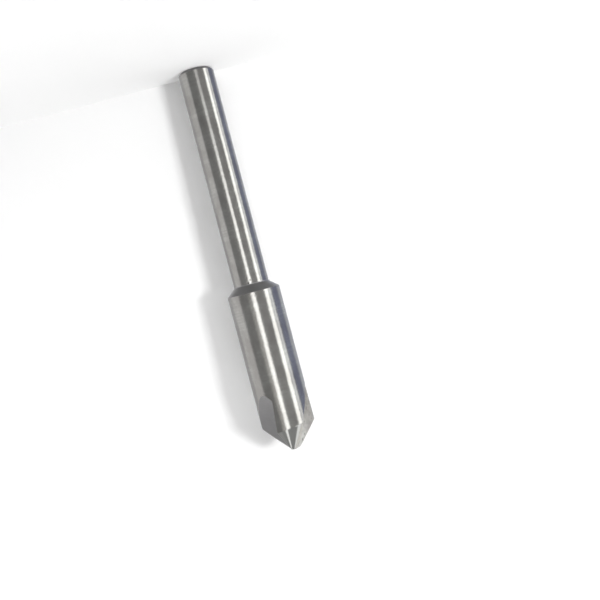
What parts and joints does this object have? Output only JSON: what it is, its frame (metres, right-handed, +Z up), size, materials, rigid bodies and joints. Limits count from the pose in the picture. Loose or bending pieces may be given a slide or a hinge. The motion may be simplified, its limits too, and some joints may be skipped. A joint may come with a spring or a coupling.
{
  "type": "countersink bit",
  "caption": "Straight-shank countersink bit ground from one steel bar: a conical nose with relieved lands and L-shaped flutes, a thick body and a slimmer shank for a chuck.",
  "frame": {"origin": "centre of the shank's flat end, on the surface that the bit stands on", "axes": "+Z up along the tool's axis, from the shank's end to the point; one rake face looks to the front, along -Y"},
  "size_m": [0.0096, 0.0096, 0.0698],
  "materials": {
    "ground_steel": "bright ground tool steel with fine axial streaks"
  },
  "bodies": {
    "root": {"countersink_bit": "ground_steel"}
  },
  "joints": []
}
